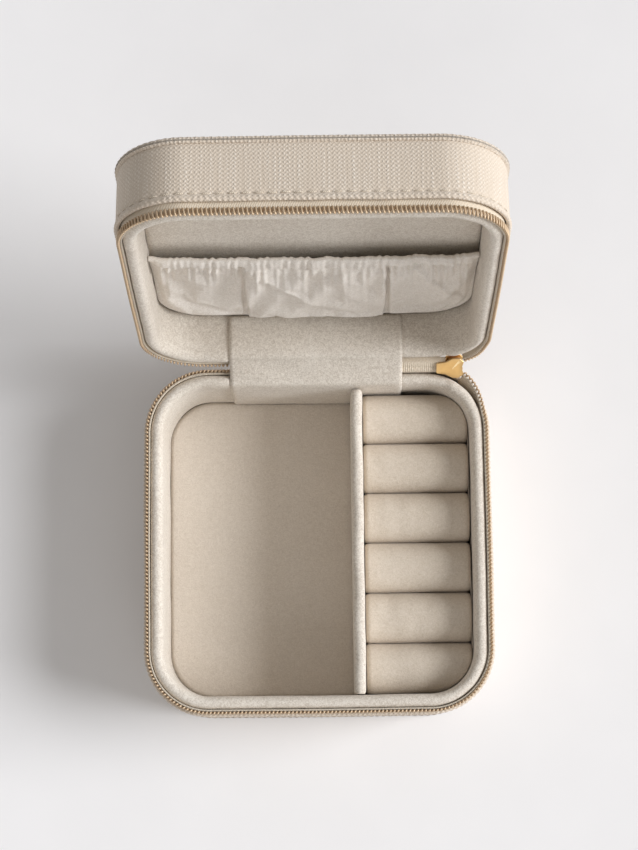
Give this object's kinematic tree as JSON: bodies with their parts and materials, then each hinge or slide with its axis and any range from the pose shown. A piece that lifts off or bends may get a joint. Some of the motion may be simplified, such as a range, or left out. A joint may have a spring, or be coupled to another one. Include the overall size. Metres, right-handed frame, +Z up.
{
  "type": "jewelry box",
  "caption": "Square zip-around travel jewelry case with a tilted-back lid, gathered lid pocket, divider, open compartment and padded ring rolls.",
  "frame": {"origin": "centre of the base's underside, where it rests", "axes": "+X to the right seen from the front, +Y back towards the hinge, +Z up out of the base"},
  "size_m": [0.1018, 0.1442, 0.1332],
  "materials": {
    "canvas": "coarse plain-weave ecru canvas, matte",
    "microsuede": "ivory microsuede with a short soft nap",
    "floor_suede": "warm beige microsuede, matte",
    "roll_suede": "cream microsuede over foam, matte",
    "board": "grey-brown paperboard, matte",
    "pocket_suede": "thin ivory microsuede, gathered",
    "elastic": "woven elastic band, matte",
    "zip_tape": "woven cream tape, satin",
    "zip_coil": "metallic gold plated nylon coil, satin",
    "gold_metal": "polished gold plate"
  },
  "bodies": {
    "base": {"base_wall_board": "board", "base_plate_board": "board", "base_canvas_band": "canvas", "base_canvas_panel": "canvas", "base_welt": "canvas", "base_wall_lining": "microsuede", "base_zip_tape": "zip_tape", "base_zip_coil": "zip_coil", "base_top_stop": "gold_metal", "base_floor_pad": "floor_suede", "divider_cover": "microsuede", "divider_board": "board", "ring_roll_card": "board", "ring_roll_1": "roll_suede", "ring_roll_2": "roll_suede", "ring_roll_3": "roll_suede", "ring_roll_4": "roll_suede", "ring_roll_5": "roll_suede", "ring_roll_6": "roll_suede", "hinge_strap": "microsuede", "hinge_canvas": "canvas", "chain_tapes": "zip_tape"},
    "lid": {"lid_wall_board": "board", "lid_plate_board": "board", "lid_canvas_band": "canvas", "lid_canvas_panel": "canvas", "lid_welt": "canvas", "lid_wall_lining": "microsuede", "lid_zip_tape": "zip_tape", "lid_zip_coil": "zip_coil", "lid_top_stop": "gold_metal", "lid_ceiling_pad": "microsuede", "lid_pocket": "pocket_suede", "pocket_elastic": "elastic"},
    "zip_chain": {"closed_zip_chain": "zip_coil", "zip_bottom_stop": "gold_metal"},
    "slider": {"zip_slider": "gold_metal"},
    "pull": {"zip_pull": "gold_metal"}
  },
  "joints": [
    {"name": "lid_hinge", "type": "hinge", "parent": "base", "child": "lid", "pos_m": [0, 0.0508, 0.034], "axis": [1, 0, 0], "range_deg": [0, 102], "deforming": ["hinge_strap", "hinge_canvas", "chain_tapes"]},
    {"name": "chain_turn", "type": "hinge", "parent": "base", "child": "zip_chain", "pos_m": [0, 0.0508, 0.034], "axis": [1, 0, 0], "range_deg": [0, 51]},
    {"name": "slider_slide", "type": "slide", "parent": "zip_chain", "child": "slider", "axis": [1, 0, 0], "range_m": [-0.009, 0], "deforming": ["closed_zip_chain"]},
    {"name": "pull_swing", "type": "hinge", "parent": "slider", "child": "pull", "pos_m": [0.0395, 0.05237, 0.03206], "axis": [0, 0.7771, 0.6293], "range_deg": [-75, 75]}
  ],
  "couplings": [
    {"joint": "chain_turn", "follows": "lid_hinge", "ratio": 0.5}
  ]
}
